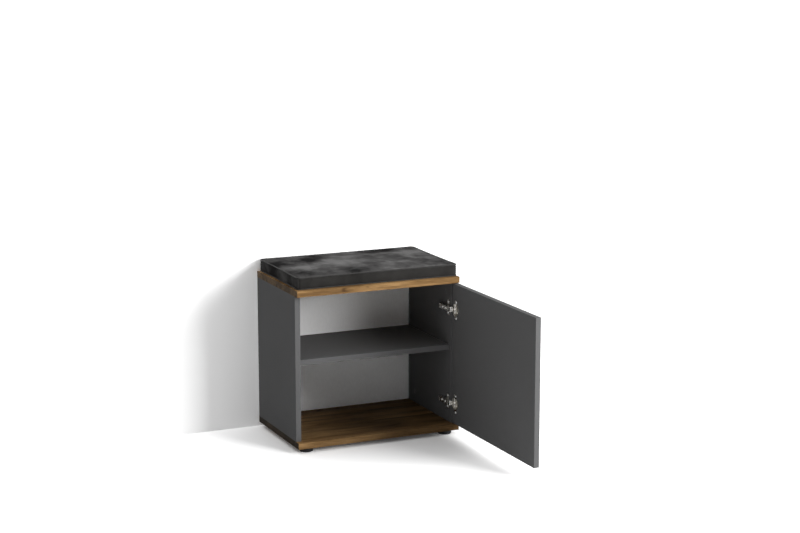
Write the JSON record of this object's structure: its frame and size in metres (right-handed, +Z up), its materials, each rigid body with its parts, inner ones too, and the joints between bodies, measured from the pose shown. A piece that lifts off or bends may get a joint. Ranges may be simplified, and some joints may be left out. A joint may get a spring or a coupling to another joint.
{
  "type": "shoe storage bench",
  "caption": "Low shoe bench with a padded seat on top, a shelf inside and a door on concealed hinges at one side, shown standing open on short round feet.",
  "frame": {"origin": "on the floor, under the middle of the whole bench's box with the door at its rest angle", "axes": "+X to the right as seen from the front, +Y to the back, +Z up; the open door points to the front, along -Y"},
  "size_m": [0.5048, 0.803, 0.5083],
  "materials": {
    "oak_board": "matt oak-brown laminate",
    "charcoal_board": "matt charcoal laminate",
    "back_board": "matt light grey hardboard",
    "nickel": "nickel plated",
    "steel": "zinc plated",
    "zinc": "cast zinc",
    "beech": "raw beech",
    "black_plastic": "fine grained",
    "cushion_fabric": "dark brown-grey woven fabric"
  },
  "bodies": {
    "cabinet": {"top_plate": "oak_board", "base_plate": "oak_board", "left_side": "charcoal_board", "right_side": "charcoal_board", "shelf": "charcoal_board", "back_panel": "back_board", "shelf_pins": "nickel", "lower_hinge_arm": "nickel", "upper_hinge_arm": "nickel", "lower_mounting_plate": "nickel", "upper_mounting_plate": "nickel", "hinge_arm_pins": "steel", "hinge_adjusting_screws": "steel", "mounting_plate_screws": "steel", "front_left_foot": "black_plastic", "front_right_foot": "black_plastic", "rear_left_foot": "black_plastic", "rear_right_foot": "black_plastic", "foot_screws": "steel", "cam_locks": "zinc", "cam_bolts": "steel", "dowels": "beech", "back_panel_nails": "steel"},
    "door": {"door": "charcoal_board", "lower_hinge_cup": "nickel", "upper_hinge_cup": "nickel", "hinge_cup_pins": "steel", "cup_screws": "steel"},
    "outer_links": {"lower_outer_link": "nickel", "upper_outer_link": "nickel"},
    "inner_links": {"lower_inner_link": "nickel", "upper_inner_link": "nickel"},
    "cushion": {"seat_cushion": "cushion_fabric"}
  },
  "joints": [
    {"name": "door_swing", "type": "hinge", "parent": "cabinet", "child": "door", "pos_m": [0.24011, 0.08953, 0.2405], "axis": [0, 0, 1], "range_deg": [-90.5, 9.5]},
    {"name": "outer_link_turn", "type": "hinge", "parent": "cabinet", "child": "outer_links", "pos_m": [0.22343, 0.09157, 0.2405], "axis": [0, 0, 1], "range_deg": [-2.41, 22.86]},
    {"name": "inner_link_turn", "type": "hinge", "parent": "cabinet", "child": "inner_links", "pos_m": [0.22736, 0.09367, 0.2405], "axis": [0, 0, 1], "range_deg": [-2.07, 19.65]},
    {"name": "cushion_lift", "type": "slide", "parent": "cabinet", "child": "cushion", "axis": [0, 0, 1], "range_m": [0, 0.05]}
  ],
  "couplings": [
    {"joint": "outer_link_turn", "follows": "door_swing", "ratio": -0.25244},
    {"joint": "inner_link_turn", "follows": "door_swing", "ratio": -0.21703}
  ]
}
